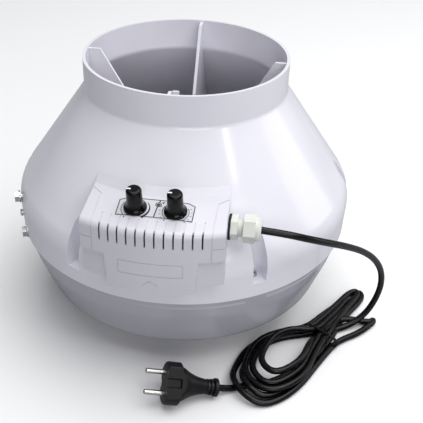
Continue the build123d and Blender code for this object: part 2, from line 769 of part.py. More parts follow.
# ---- dial label and indicator lens ----
label_half_width = 33.5
label_half_depth = 11.2
label_thickness = 0.3
label_origin = panel_plane(0).from_local_coords((0, 1.6, 0))
with BuildPart() as label_blank:
    with BuildSketch(Plane(origin=label_origin, x_dir=(1, 0, 0), z_dir=panel_plane(0).z_dir).offset(-6)):
        with BuildLine():
            Polyline((-label_half_width, -label_half_depth), (label_half_width, -label_half_depth),
                     (label_half_width, label_half_depth - 3), (label_half_width - 6, label_half_depth),
                     (-label_half_width + 6, label_half_depth), (-label_half_width, label_half_depth - 3),
                     close=True)
        make_face()
    extrude(amount=10)
with BuildPart() as dial_label:
    add(box_section(-label_thickness - 0.02, cover_tongue_z))
    add(box_section(-0.02, cover_tongue_z - 5), mode=Mode.SUBTRACT)
    add(label_blank.part, mode=Mode.INTERSECT)
    for plane in knob_planes.values():
        with BuildSketch(plane):
            Circle(pot_bush_r + 0.3)
        extrude(amount=4, both=True, mode=Mode.SUBTRACT)
    with BuildSketch(lens_plane):
        Circle(lens_r + 0.2)
    extrude(amount=4, both=True, mode=Mode.SUBTRACT)
save(dial_label.part, "dial_label")

with BuildPart() as indicator_lens:
    with BuildSketch(lens_plane.offset(-box_wall - 1)):
        Circle(lens_r)
    extrude(amount=box_wall + 1.8)
    fillet(indicator_lens.edges().filter_by(GeomType.CIRCLE).group_by(Axis(lens_plane.origin, lens_plane.z_dir))[-1],
           0.5)
save(indicator_lens.part, "indicator_lens")

# ---- knobs, pointers, potentiometers and the circuit board that carries them ----
board_depth = 8.9               # top of the board under the box's top face
board_thickness = 1.6
pointer_width = 1.4
for name, plane in knob_planes.items():
    upright = Plane(origin=plane.origin, x_dir=plane.x_dir, z_dir=plane.y_dir * -1)
    knob_axis = Axis(plane.origin, plane.z_dir)
    with BuildPart() as knob:
        with BuildSketch(upright):
            with BuildLine():
                Polyline((0, knob_gap), (knob_skirt_r, knob_gap), (knob_skirt_r, knob_gap + 1.6))
                Spline((knob_skirt_r, knob_gap + 1.6), (knob_cap_r + 0.6, knob_gap + 4.6), (knob_cap_r, knob_gap + 8))
                FilletPolyline((knob_cap_r, knob_gap + 8), (knob_cap_r - 0.3, knob_height), (0, knob_height), radius=2.5)
                Line((0, knob_height), (0, knob_gap))
            make_face()
        revolve(axis=knob_axis)
        with BuildSketch(plane.offset(knob_gap)):
            Circle(pot_shaft_r + 0.02)
        extrude(amount=knob_height - knob_gap - 4, mode=Mode.SUBTRACT)
        with BuildSketch(plane.offset(knob_gap)):
            Circle(pot_bush_r + 2.8)
        extrude(amount=3.4, mode=Mode.SUBTRACT)
        with BuildSketch(plane.offset(knob_height - 1.0)):
            with Locations((-knob_cap_r / 2 - 1, 0)):
                Rectangle(knob_cap_r, pointer_width)
        extrude(amount=4, mode=Mode.SUBTRACT)
    save(knob.part, name + "_knob")

    with BuildPart() as pointer:
        with BuildSketch(plane.offset(knob_height - 1.0)):
            with Locations((-knob_cap_r / 2 - 0.6, 0)):
                Rectangle(knob_cap_r - 3.4, pointer_width)
        extrude(amount=1.0)
    save(pointer.part, name + "_pointer")

    with BuildPart() as pot:
        with BuildSketch(plane.offset(-board_depth)):
            Circle(pot_r)
        extrude(amount=pot_height)
        with BuildSketch(plane.offset(-board_depth + pot_height)):
            Circle(pot_bush_r)
        extrude(amount=board_depth - pot_height + 3.0)
        with BuildSketch(plane.offset(-board_depth + pot_height - 3)):
            Circle(pot_shaft_r + running_gap)
        extrude(amount=board_depth + 3, mode=Mode.SUBTRACT)
    save(pot.part, name + "_potentiometer")

    with BuildPart() as pot_shaft:
        with BuildSketch(plane.offset(-board_depth + pot_height - 2.5)):
            Circle(pot_shaft_r)
        extrude(amount=board_depth - pot_height + 2.5 + knob_height - 4.2)
    save(pot_shaft.part, name + "_shaft")

    with BuildPart() as pot_nut:
        with BuildSketch(plane.offset(label_thickness + 0.45)):
            RegularPolygon(5.5, 6)
            Circle(pot_bush_r, mode=Mode.SUBTRACT)
        extrude(amount=2.0)
    save(pot_nut.part, name + "_nut")

board_plane = panel_plane(0, -board_depth - board_thickness)
with BuildPart() as circuit_board:
    with BuildSketch(board_plane):
        with Locations((0, -5)):
            Rectangle(2 * knob_offset + 50, 22)
    extrude(amount=board_thickness)
    fillet(circuit_board.edges().filter_by(Axis(board_plane.origin, board_plane.z_dir)), 2)
save(circuit_board.part, "circuit_board")

bay_y = -(front_wall_r - 13)    # middle of the bay between the casing and the box's front
bay_depth = 9.0
bay_floor_z = cover_skirt_z + 2
with BuildPart() as capacitor:
    with BuildSketch(Plane.XY.offset(bay_floor_z)):
        with Locations((-28, bay_y)):
            Rectangle(24, bay_depth)
    extrude(amount=12)
    fillet(capacitor.edges().filter_by(Axis.Z), 1.5)
save(capacitor.part, "capacitor")

with BuildPart() as terminal_block:
    with BuildSketch(Plane.XY.offset(bay_floor_z)):
        with Locations((28, bay_y)):
            Rectangle(30, bay_depth)
    extrude(amount=11)
    with BuildSketch(Plane.XY.offset(bay_floor_z + 11)):
        with Locations((28, bay_y)):
            with GridLocations(6, 1, 4, 1):
                Circle(1.8)
    extrude(amount=-3, mode=Mode.SUBTRACT)
save(terminal_block.part, "terminal_block")

# ---- motor lead from the hub to the box, with its grommet in the casing wall ----
lead_inner_y = -hub_r + 8
lead_outer_y = -cone_radius(lead_z) - 9
with BuildPart() as motor_lead:
    with BuildSketch(Plane(origin=(lead_x, lead_inner_y, lead_z), z_dir=(0, -1, 0))):
        Circle(lead_r)
    extrude(amount=lead_inner_y - lead_outer_y)
save(motor_lead.part, "motor_lead")

grommet_y = -cone_radius(lead_z)
with BuildPart() as lead_grommet:
    with BuildSketch(Plane(origin=(lead_x, grommet_y + 6, lead_z), z_dir=(0, -1, 0))):
        Circle(lead_r + 1.9)
        Circle(lead_r + 0.05, mode=Mode.SUBTRACT)
    extrude(amount=12)
save(lead_grommet.part, "lead_grommet")

with BuildPart() as lead_clip:
    with BuildSketch(Plane.XY.offset(hub_top_z)):
        with Locations((on_circle(41, 115))):
            Rectangle(7, 3)
    extrude(amount=9)
save(lead_clip.part, "lead_clip")

# ---- cable gland: gasket, body, nut, seal and locknut ----
wall_face = gland_plane.offset(pad_x)
gasket_height = 2.0
flange_length = 6.0
nut_start = gasket_height + flange_length + 5.0
nut_length = 15.0
dome_length = 3.0
with BuildPart() as gland_gasket:
    with BuildSketch(wall_face):
        Circle(gland_gasket_r)
        Circle(gland_hole_r, mode=Mode.SUBTRACT)
    extrude(amount=gasket_height)
save(gland_gasket.part, "gland_gasket")

with BuildPart() as gland_body:
    with BuildSketch(wall_face.offset(gasket_height)):
        RegularPolygon(gland_flange_r * 1.03, 6)
        Circle(gland_flange_r, mode=Mode.INTERSECT)
    extrude(amount=flange_length)
    with BuildSketch(wall_face.offset(-12)):
        Circle(gland_thread_r)
    extrude(amount=12 + nut_start + nut_length - 4)
    for ridge in range(3):
        with BuildSketch(wall_face.offset(gasket_height + flange_length + 0.6 + 1.5 * ridge)):
            Circle(gland_thread_r + 0.5)
        extrude(amount=0.7)
    with BuildSketch(wall_face.offset(-12)):
        Circle(gland_thread_r - 2.5)
    extrude(amount=40, mode=Mode.SUBTRACT)
save(gland_body.part, "gland_body")

with BuildPart() as gland_nut:
    with BuildSketch(wall_face.offset(nut_start)):
        RegularPolygon(gland_across_flats / 2, 6, major_radius=False)
    extrude(amount=nut_length - dome_length - 2)
    with BuildSketch(wall_face.offset(nut_start)):
        Circle(gland_across_flats / 2 - 0.2)
    extrude(amount=nut_length)
    chamfer(gland_nut.faces().sort_by(Axis.X)[-1].edges(), 2.5)
    with BuildSketch(wall_face.offset(nut_start)):
        Circle(gland_thread_r + 0.02)
    extrude(amount=nut_length - 3, mode=Mode.SUBTRACT)
    with BuildSketch(wall_face.offset(nut_start)):
        Circle(cord_r + 0.5)
    extrude(amount=nut_length + 1, mode=Mode.SUBTRACT)
save(gland_nut.part, "gland_nut")

with BuildPart() as gland_seal:
    with BuildSketch(wall_face.offset(nut_start + nut_length - 10)):
        Circle(gland_thread_r - 2.55)
        Circle(cord_r + 0.1, mode=Mode.SUBTRACT)
    extrude(amount=6)
save(gland_seal.part, "gland_seal")

with BuildPart() as gland_locknut:
    with BuildSketch(gland_plane.offset(side_x - box_wall - 5)):
        RegularPolygon(9.7, 6)
        Circle(gland_thread_r + 0.02, mode=Mode.SUBTRACT)
    extrude(amount=4)
save(gland_locknut.part, "gland_locknut")
exit_x = pad_x + nut_start + nut_length
print("gland end at x", round(exit_x, 2))

# ---- bracket bolts, washers, nuts and the small screw between them ----
def bracket_point(z, outline, rounds):
    """Distance of a casing's outside from the axis at a height."""
    with BuildLine() as side:
        FilletPolyline(outline, radius=rounds)
    crossings = [side.wires()[0].position_at(t / 400) for t in range(401)]
    return min(crossings, key=lambda p: abs(p.Y - z)).X


upper_bolt_r = bracket_point(bracket_upper_z, upper_outline, upper_rounds)
lower_bolt_r = bracket_point(bracket_lower_z, lower_outline, lower_rounds)
screw_seat_r = bracket_point(bracket_screw_z, upper_outline, upper_rounds)


def bracket_seat(radius, z):
    """Plane on the casing at the bracket, facing outwards."""
    return Plane(origin=(*on_circle(radius, bracket_angle), z), x_dir=(0, 0, 1), z_dir=(*on_circle(1, bracket_angle), 0))


bolt_seats = [bracket_seat(upper_bolt_r + 1.0, bracket_upper_z), bracket_seat(lower_bolt_r + 1.6, bracket_lower_z)]
bolt_length = 22.0
bolts, washers, nuts = [], [], []
for seat in bolt_seats:
    with BuildPart() as bolt:
        with BuildSketch(seat.offset(1.6)):
            RegularPolygon(5.0, 6, major_radius=False)
        extrude(amount=4.2)
        with BuildSketch(seat.offset(1.6)):
            Circle(bracket_bolt_r)
        extrude(amount=-bolt_length)
    bolts.append(bolt.part)
    with BuildPart() as washer:
        with BuildSketch(seat):
            Circle(bracket_washer_r)
            Circle(bracket_bolt_r + 0.1, mode=Mode.SUBTRACT)
        extrude(amount=1.6)
    washers.append(washer.part)
    with BuildPart() as nut:
        with BuildSketch(seat.offset(-16)):
            RegularPolygon(5.0, 6, major_radius=False)
            Circle(bracket_bolt_r, mode=Mode.SUBTRACT)
        extrude(amount=5)
    nuts.append(nut.part)
save_group(bolts, "bracket_bolts")
save_group(washers, "bracket_washers")
save_group(nuts, "bracket_nuts")
save(screw(bracket_seat(screw_seat_r + 0.3, bracket_screw_z), 3.4, 2.4, screw_shank_r, 9), "bracket_screw")

# ---- mains cord: the run in the air, the tied hank on the floor and the tail to the plug ----
floor_z = cord_r + 0.1
lead_points = [
    (exit_x - 6, gland_y, gland_z),
    (108, -147, 174.3),
    (131, -139.5, 166),
    (150.5, -123.5, 153),
    (167, -104, 138),
    (184, -84, 121),
    (199, -67.5, 102),
    (209.5, -55, 80),
    (213.5, -47.5, 56),
    (210.5, -45, 33),
    (202.5, -47.8, 15),
    (187.5, -56.2, 4.2),
    (167, -68.5, floor_z),
]
tail_points = [
    (92, -159, floor_z),
    (82, -163, floor_z),
    (73, -168.5, floor_z + 1.3),
    (61.7, -174.9, 10.6),
]


def turn_radii(points):
    """Largest arc that fits each corner of a cord's route, from its runs and its turn."""
    radii = []
    for before, here, after in zip(points, points[1:], points[2:]):
        run_in = Vector(*here) - Vector(*before)
        run_out = Vector(*after) - Vector(*here)
        half_turn = math.radians(run_in.get_angle(run_out)) / 2
        radii.append(0.45 * min(run_in.length, run_out.length) / math.tan(half_turn))
    return radii


def cord_tube(points, name):
    """Round tube along straight runs joined by tangent arcs."""
    radii = turn_radii(points)
    with BuildPart() as tube:
        with BuildLine() as route:
            FilletPolyline(points, radius=radii)
        start = Vector(*points[0])
        with BuildSketch(Plane(origin=start, z_dir=Vector(*points[1]) - start)):
            Circle(cord_r)
        sweep(path=route.wires()[0], transition=Transition.ROUND)
    length = route.wires()[0].length
    print(name, "length", round(length, 1), "volume ratio",
          round(tube.part.volume / (length * math.pi * cord_r ** 2), 4), "radii", [round(r) for r in radii])
    save(tube.part, name)
    return length


cord_tube(lead_points, "cord_lead")
cord_tube(tail_points, "cord_tail")

# The hank's outer shape: one wide lobe of loose loops, a tied waist and the two folded ends.
hank_height = 26.0
lobe = [((104, -150), 33), ((122, -120), 32), ((96, -164), 21)]
waist = [((153, -78), 17)]
folds = [((191, -9), 9), ((205, -46), 7), ((150, -80), 16)]
with BuildPart() as cord_hank:
    with BuildSketch(Plane.XY.offset(0.1)):
        with BuildSketch(Plane.XY, mode=Mode.PRIVATE) as lobe_hull:
            for (x, y), r in lobe + waist:
                with Locations((x, y)):
                    Circle(r)
            make_hull()
        with BuildSketch(Plane.XY, mode=Mode.PRIVATE) as fold_hull:
            for (x, y), r in folds:
                with Locations((x, y)):
                    Circle(r)
            make_hull()
        add(lobe_hull.sketch)
        add(fold_hull.sketch)
    extrude(amount=hank_height)
    chamfer(cord_hank.faces().sort_by(Axis.Z)[-1].edges(), 6)
save(cord_hank.part, "cord_hank")

with BuildPart() as cord_tie:
    with BuildSketch(Plane(origin=(153, -78, 0.3), x_dir=(0.84, -0.54, 0), z_dir=(-0.54, -0.84, 0))):
        with Locations((0, hank_height / 2)):
            Rectangle(2 * 17 + 3, hank_height + 1)
            Rectangle(2 * 17 + 0.6, hank_height - 0.6, mode=Mode.SUBTRACT)
    extrude(amount=5)
save(cord_tie.part, "cord_tie")

# ---- plug: two-pin contour plug lying on its rim ----
plug_nose = Vector(13.8, -189.2, 23.4)
plug_tail = Vector(61.7, -174.9, 10.6)
plug_dir = (plug_nose - plug_tail).normalized()
plug_side = plug_dir.cross(Vector(0, 0, 1)).normalized().rotate(Axis((0, 0, 0), plug_dir), -plug_turn)
plug_base = Plane(origin=plug_tail, x_dir=plug_side, z_dir=plug_dir)
plug_upright = Plane(origin=plug_tail, x_dir=plug_side, z_dir=plug_base.y_dir * -1)
plug_length = (plug_nose - plug_tail).length
head_length = 13.0
with BuildPart() as plug_body:
    with BuildSketch(plug_upright):
        with BuildLine():
            Polyline((cord_r + 1.0, 0), (8.6, 0), (8.6, 4), (6.6, 6.5), (6.6, 13))
            Spline((6.6, 13), (9, plug_length - head_length - 10), (14.5, plug_length - head_length - 3))
            Polyline((14.5, plug_length - head_length - 3), (plug_head_r - 2.5, plug_length - head_length),
                     (plug_head_r, plug_length - head_length + 2), (plug_head_r, plug_length - 3),
                     (plug_head_r - 3, plug_length), (0, plug_length), (0, 0), (cord_r + 1.0, 0))
        make_face()
    revolve(axis=Axis(plug_tail, plug_dir))
    with BuildSketch(plug_base.offset(plug_length - head_length - 4)):
        for side in (-1, 1):
            with Locations((0, side * (plug_flat + 10))):
                Rectangle(3 * plug_head_r, 20)
    extrude(amount=head_length + 5, mode=Mode.SUBTRACT)
    with BuildSketch(plug_base.offset(-1)):
        Circle(cord_r + 0.15)
    extrude(amount=8, mode=Mode.SUBTRACT)
save(plug_body.part, "plug_body")

pins = []
for side in (-1, 1):
    with BuildPart() as pin:
        with BuildSketch(plug_base.offset(plug_length)):
            with Locations((side * pin_spacing / 2, 0)):
                Circle(pin_r)
        extrude(amount=pin_length)
        fillet(pin.faces().sort_by(Axis(plug_tail, plug_dir))[-1].edges(), 1.8)
    pins.append(pin.part)
save_group(pins, "plug_pins")

whole = [solid for piece in (plug_body.part, cord_hank.part) for solid in piece.solids()]
print("lowest plug and hank point", round(min(solid.bounding_box().min.Z for solid in whole), 2))
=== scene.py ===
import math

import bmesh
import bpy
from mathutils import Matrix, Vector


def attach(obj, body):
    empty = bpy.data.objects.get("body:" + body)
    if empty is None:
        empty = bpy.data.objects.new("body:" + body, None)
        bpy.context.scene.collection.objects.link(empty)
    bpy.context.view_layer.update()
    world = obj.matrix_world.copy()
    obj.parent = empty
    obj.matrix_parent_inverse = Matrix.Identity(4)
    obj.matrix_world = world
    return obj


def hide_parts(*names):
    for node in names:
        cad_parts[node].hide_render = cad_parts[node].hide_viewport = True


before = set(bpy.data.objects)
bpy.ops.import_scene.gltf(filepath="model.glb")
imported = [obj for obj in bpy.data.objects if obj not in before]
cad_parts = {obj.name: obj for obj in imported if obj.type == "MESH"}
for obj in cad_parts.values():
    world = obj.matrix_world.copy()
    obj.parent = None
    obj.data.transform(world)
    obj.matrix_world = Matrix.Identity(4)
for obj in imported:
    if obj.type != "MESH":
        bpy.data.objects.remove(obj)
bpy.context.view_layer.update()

# %% [markdown]
# # Inline duct fan
# A plastic fan housing stands on its inlet rim. It has a control box with two dials on its side, a cable
# gland, and a black mains cord that lies tied in a hank beside it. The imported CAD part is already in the
# scene, in metres, with +Z along the air flow and the control box towards -Y. This lesson gives it
# finishes, and adds the soft and printed pieces that CAD leaves plain.

MM = 0.001

# %% [markdown]
# ## Camera
# A product shot is taken from a little above, with a lens long enough to keep round rims round. The camera
# could be aimed with a Track To constraint. Here its three axes are worked out from a pitch, a heading and a
# small roll, because a matrix keeps the aim exact.

# %% Camera
CAMERA_PLACE = Vector((113.2, -684.0, 540.0)) * MM
CAMERA_PITCH = math.radians(32.97)      # below the horizon
CAMERA_HEADING = math.radians(-7.02)    # from +Y towards +X
CAMERA_ROLL = math.radians(1.98)
LENS_LENGTH, SENSOR_WIDTH = 64.77, 36.0
ahead = Vector((math.sin(CAMERA_HEADING) * math.cos(CAMERA_PITCH),
                math.cos(CAMERA_HEADING) * math.cos(CAMERA_PITCH), -math.sin(CAMERA_PITCH)))
level = Vector((math.cos(CAMERA_HEADING), -math.sin(CAMERA_HEADING), 0.0))
upward = level.cross(ahead)
right = math.cos(CAMERA_ROLL) * level + math.sin(CAMERA_ROLL) * upward
top = -math.sin(CAMERA_ROLL) * level + math.cos(CAMERA_ROLL) * upward
lens = bpy.data.cameras.new("product_camera")
lens.lens = LENS_LENGTH
lens.sensor_width = SENSOR_WIDTH
camera = bpy.data.objects.new("product_camera", lens)
camera.matrix_world = Matrix.Translation(CAMERA_PLACE) @ Matrix((right, top, -ahead)).transposed().to_4x4()
bpy.context.collection.objects.link(camera)
bpy.context.scene.camera = camera
print("camera at", [round(value, 3) for value in camera.location])

# %% [markdown]
# ## Cord
# A mains cord is a soft round tube. A curve with a round bevel is the natural tool for it, because only the
# centreline has to be drawn. The run in the air and the tail to the plug are listed points. The hank
# is a racetrack that is wound again and again, so a loop works it out from a few named sizes: each turn goes
# out through the tie, round the wide lobe, back through the tie and round a folded end.

# %% Cord route
CORD_R = 3.2
FLOOR = CORD_R + 0.1                    # centreline of a cord on the floor
LAYER = 6.3                             # height of one cord lying on another
LEAD = [(84.5, -147, 175.5), (108, -147, 174.3), (131, -139.5, 166), (150.5, -123.5, 153), (167, -104, 138),
        (184, -84, 121), (199, -67.5, 102), (209.5, -55, 80), (213.5, -47.5, 56), (210.5, -45, 33),
        (202.5, -47.8, 15), (187.5, -56.2, 4.2), (167, -68.5, FLOOR)]
TAIL = [(92, -159, FLOOR), (82, -163, FLOOR), (73, -168.5, FLOOR + 1.3), (61.7, -174.9, 10.6)]
WAIST = (153.0, -78.0)                  # where the tie holds the hank
ALONG = (-0.545, -0.839)                # from the tie towards the lobe
ACROSS = (0.839, -0.545)


def hank_point(along, across, height):
    """Point of the hank, from its distance along and across from the tie."""
    x = WAIST[0] + ALONG[0] * along + ACROSS[0] * across
    y = WAIST[1] + ALONG[1] * along + ACROSS[1] * across
    return x, y, height


# Where each turn passes the tie on its way out and back: distance across, and layer above the floor.
PASS_OUT = [(1.5, 0), (4.6, 1), (11.0, 1), (14.3, 0), (20.7, 0)]
PASS_BACK = [(-1.8, 1), (-8.2, 1), (-14.0, 0.4), (-5.0, 0), (-11.5, 0)]
LAST_OUT = (7.9, 0)
LOBE_REACH = [84.0, 95.0, 103.0, 110.0, 120.0]
LOBE_RIGHT = [15.0, 19.0, 26.5, 22.0, 28.5]
LOBE_LEFT = [25.0, 30.0, 36.5, 33.5, 41.0]
LOBE_LAYER = [2, 1, 1, 0, 0]
FOLD_REACH = [70.0, 84.0, 78.0, 62.0, 92.0]
FOLD_SIDE = [-2.0, -5.0, -3.0, 31.0, -4.0]      # how far across each folded end lies
FOLD_WIDTH = [3.6, 5.0, 3.2, 1.6, 7.0]


def lobe_turn(turn):
    """One turn round the wide lobe, from the tie and back to it."""
    out, out_layer = PASS_OUT[turn]
    back, back_layer = PASS_BACK[turn]
    reach, wide, left = LOBE_REACH[turn], LOBE_RIGHT[turn], LOBE_LEFT[turn]
    height = FLOOR + LAYER * LOBE_LAYER[turn]
    over_tail = max(height, FLOOR + LAYER + 0.4)
    return [
        hank_point(0, out, FLOOR + LAYER * out_layer),
        hank_point(0.28 * reach, out + 0.4 * (wide - out), height),
        hank_point(0.56 * reach, wide, height),
        hank_point(0.78 * reach, 0.93 * wide, height),
        hank_point(0.95 * reach, 0.60 * wide, height),
        hank_point(reach, 0, over_tail),
        hank_point(0.93 * reach, -0.55 * left, over_tail),
        hank_point(0.76 * reach, -0.83 * left, height),
        hank_point(0.51 * reach, -1.02 * left, height),
        hank_point(0.25 * reach, -0.78 * left, height),
        hank_point(0, back, FLOOR + LAYER * back_layer),
    ]


def fold_turn(turn):
    """One folded end, from the tie on the left to the tie on the right."""
    back, back_layer = PASS_BACK[turn]
    out, out_layer = (PASS_OUT + [LAST_OUT])[turn + 1]
    reach, side, width = FOLD_REACH[turn], FOLD_SIDE[turn], FOLD_WIDTH[turn]
    low, high = FLOOR + LAYER * back_layer, FLOOR + LAYER * out_layer
    lift = LAYER * 0.9 if side > 10 else 0.0
    return [
        hank_point(-0.25 * reach, back + 0.1 * (side - back), low),
        hank_point(-0.60 * reach, back + 0.35 * (side - width - back), low + lift),
        hank_point(-0.90 * reach, side - width, low),
        hank_point(-1.02 * reach, side - 0.2 * width, low),
        hank_point(-0.93 * reach, side + width, high),
        hank_point(-0.55 * reach, side + 0.9 * width + 0.2 * (out - side), high),
        hank_point(-0.22 * reach, out + 0.2 * (side - out), high),
    ]


route = list(LEAD)
for turn in range(len(LOBE_REACH)):
    route += lobe_turn(turn) + fold_turn(turn)
LAST_RUN = [(0, LAST_OUT[0]), (30, 10), (60, 12), (84, 6)]      # from the tie to the tail, along and across
route += [hank_point(along, across, FLOOR) for along, across in LAST_RUN]
route += TAIL

cord_curve = bpy.data.curves.new("mains_cord", "CURVE")
cord_curve.dimensions = "3D"
cord_curve.bevel_depth = CORD_R * MM
cord_curve.bevel_resolution = 5
cord_curve.use_fill_caps = True
cord_curve.resolution_u = 10
strand = cord_curve.splines.new("NURBS")
strand.points.add(len(route) - 1)
for point, place in zip(strand.points, route):
    point.co = (*[value * MM for value in place], 1.0)
strand.order_u = 3
strand.use_endpoint_u = True
mains_cord = bpy.data.objects.new("mains_cord", cord_curve)
bpy.context.collection.objects.link(mains_cord)
cord_length = strand.calc_length()
print("cord points", len(route), "length", round(cord_length, 3), "m")

# %% [markdown]
# ## Finishes
# Each finish is a node material named for the real material. Colours are typed as the hex values a designer
# would pick, and one function turns them into the linear numbers that the shader works in. Another adds a
# node with its settings and links, so that each material reads as a short list. Patterns use Object
# coordinates, which stay with the piece when it moves.

# %% Colour and node helpers
def linear(hex_colour):
    """Linear RGBA of an sRGB hex colour."""
    values = [int(hex_colour[i:i + 2], 16) / 255 for i in (1, 3, 5)]
    return (*[v / 12.92 if v <= 0.04045 else ((v + 0.055) / 1.055) ** 2.4 for v in values], 1.0)


def add_node(tree, kind, settings=None, values=None, links=None):
    """Adds a node, sets its properties and socket values, and links sockets to other nodes' outputs."""
    node = tree.nodes.new(kind)
    for name, value in (settings or {}).items():
        setattr(node, name, value)
    for name, value in (values or {}).items():
        node.inputs[name].default_value = value
    for name, source in (links or {}).items():
        tree.links.new(source, node.inputs[name])
    return node


def start_material(name):
    """Empty node material with its shader and output, ready for a finish."""
    material = bpy.data.materials.new(name)
    material.use_nodes = True
    tree = material.node_tree
    tree.nodes.clear()
    shader = add_node(tree, "ShaderNodeBsdfPrincipled")
    add_node(tree, "ShaderNodeOutputMaterial", links={"Surface": shader.outputs["BSDF"]})
    return material, tree, shader


def set_values(shader, **values):
    """Sets shader sockets by name, with underscores for spaces."""
    for name, value in values.items():
        shader.inputs[name.replace("_", " ")].default_value = value


def surface_noise(tree, scale, detail=4.0, stretch=(1.0, 1.0, 1.0)):
    """Noise in Object coordinates, stretched along an axis for a grain."""
    place = add_node(tree, "ShaderNodeTexCoord")
    spread = add_node(tree, "ShaderNodeMapping", values={"Scale": stretch},
                      links={"Vector": place.outputs["Object"]})
    return add_node(tree, "ShaderNodeTexNoise", values={"Scale": scale, "Detail": detail, "Roughness": 0.55},
                    links={"Vector": spread.outputs["Vector"]})


def add_bump(tree, shader, height, strength, distance):
    """Fine relief on a shader from a height output."""
    bump = add_node(tree, "ShaderNodeBump", values={"Strength": strength, "Distance": distance},
                    links={"Height": height})
    tree.links.new(bump.outputs["Normal"], shader.inputs["Normal"])


def two_tone(tree, shader, factor, dark, light, low=0.3, high=0.7):
    """Base colour that drifts between two tones."""
    ramp = add_node(tree, "ShaderNodeValToRGB", links={"Fac": factor})
    ramp.color_ramp.elements[0].position = low
    ramp.color_ramp.elements[0].color = linear(dark)
    ramp.color_ramp.elements[1].position = high
    ramp.color_ramp.elements[1].color = linear(light)
    tree.links.new(ramp.outputs["Color"], shader.inputs["Base Color"])


def rough_range(tree, shader, factor, low, high):
    """Roughness that drifts between two values."""
    spread = add_node(tree, "ShaderNodeMapRange", values={"To Min": low, "To Max": high},
                      links={"Value": factor})
    tree.links.new(spread.outputs["Result"], shader.inputs["Roughness"])


# %% [markdown]
# ### Moulded plastics
# The casings are injection-moulded polypropylene: white with a cold tint, glossy, and never quite flat, so
# highlights waver a little. A broad faint bump gives the waver. The control box is ABS, a little duller, and
# its greyer tone is painted shade on the plastic's own white. The nylon of the gland is warmer. The bowl is
# the same plastic as the cone: its darker grey is painted shade, so give it the cone's tone to show the
# plastic itself.

# %% Plastic materials
def moulded_plastic(name, dark, light, rough_low, rough_high, waver, coat):
    """Glossy moulded plastic with faint tone drift, uneven gloss and waver."""
    material, tree, shader = start_material(name)
    broad = surface_noise(tree, 9.0, 2.0)
    fine = surface_noise(tree, 160.0, 3.0)
    two_tone(tree, shader, broad.outputs["Fac"], dark, light)
    rough_range(tree, shader, fine.outputs["Fac"], rough_low, rough_high)
    add_bump(tree, shader, broad.outputs["Fac"], waver, 0.004)
    set_values(shader, IOR=1.49, Coat_Weight=coat, Coat_Roughness=0.08, Specular_IOR_Level=0.5)
    return material


casing_plastic = moulded_plastic("white_polypropylene", "#e2e1ea", "#eae9f1", 0.17, 0.25, 0.10, 0.3)
# The bowl's darker grey is painted shade: it is the cone's white plastic in a shaded tone.
bowl_painted_shade_plastic = moulded_plastic("white_polypropylene_painted_shade_bowl", "#b4b3bb", "#bcbbc3", 0.18, 0.26, 0.10, 0.3)
# The box's grey tone is darkened as painted shade, below the white of the plastic itself.
box_painted_shade_plastic = moulded_plastic("white_abs_painted_shade", "#cecdd6", "#d5d4dc", 0.28, 0.36, 0.03, 0.1)
impeller_plastic = moulded_plastic("grey_glass_filled_nylon", "#b9b9be", "#c6c6ca", 0.38, 0.5, 0.05, 0.0)
gland_nylon = moulded_plastic("natural_nylon", "#d6d8d2", "#e2e3dd", 0.34, 0.44, 0.04, 0.05)
pointer_paint = moulded_plastic("white_pointer_paint", "#e9e9e9", "#f2f2f2", 0.4, 0.5, 0.0, 0.0)
capacitor_plastic = moulded_plastic("black_polyester_case", "#0c0c0e", "#16161a", 0.3, 0.4, 0.0, 0.0)
print("plastics made")


# %% [markdown]
# ### Print, rubber and cord
# The dial label is a printed film, and its marks are ink. Rubber and the PVC of the cord are both black, but
# rubber is dull, while PVC has a waxy sheen that shows as a thin bright line along the cord.

# %% Print, rubber, cord and glow materials
def plain_finish(name, colour, roughness, **values):
    """Even finish with a very fine grain in its gloss."""
    material, tree, shader = start_material(name)
    grain = surface_noise(tree, 420.0, 2.0)
    rough_range(tree, shader, grain.outputs["Fac"], roughness * 0.88, roughness * 1.12)
    set_values(shader, Base_Color=linear(colour), **values)
    return material


# The film's grey is darkened as painted shade.
painted_shade_label_film = plain_finish("painted_shade_label_film", "#c9cad1", 0.35)
knob_plastic = plain_finish("black_phenolic", "#040405", 0.13, Specular_IOR_Level=0.22)
label_ink = plain_finish("label_ink", "#0d0d0f", 0.45)
gasket_rubber = plain_finish("gasket_rubber", "#0b0b0c", 0.8)
cord_pvc = plain_finish("cord_pvc", "#040405", 0.27, Specular_IOR_Level=0.32)
plug_pvc = plain_finish("plug_pvc", "#060607", 0.38, Specular_IOR_Level=0.3)
tie_pvc = plain_finish("tie_pvc", "#060606", 0.45, Specular_IOR_Level=0.3)
lens_plastic = plain_finish("smoked_lens", "#3a2a24", 0.12, Coat_Weight=0.5)
board_laminate = plain_finish("board_laminate", "#1c5a38", 0.4)
print("print, rubber and cord finishes made")


# %% [markdown]
# ### Metals
# Screws are zinc-plated steel: bright, with a cloudy passivated tint. The motor's parts are turned or
# stamped, so their grain runs one way, which stretched noise gives to the roughness. The plug's pins are
# nickel plated and smooth.

# %% Metal materials
def metal(name, dark, light, rough_low, rough_high, stretch=(1.0, 1.0, 1.0), scale=60.0):
    """Metal with a tone drift and a grain in its roughness."""
    material, tree, shader = start_material(name)
    cloud = surface_noise(tree, scale, 3.0)
    grain = surface_noise(tree, scale * 6, 3.0, stretch)
    two_tone(tree, shader, cloud.outputs["Fac"], dark, light)
    rough_range(tree, shader, grain.outputs["Fac"], rough_low, rough_high)
    add_bump(tree, shader, grain.outputs["Fac"], 0.08, 0.0004)
    set_values(shader, Metallic=1.0)
    return material


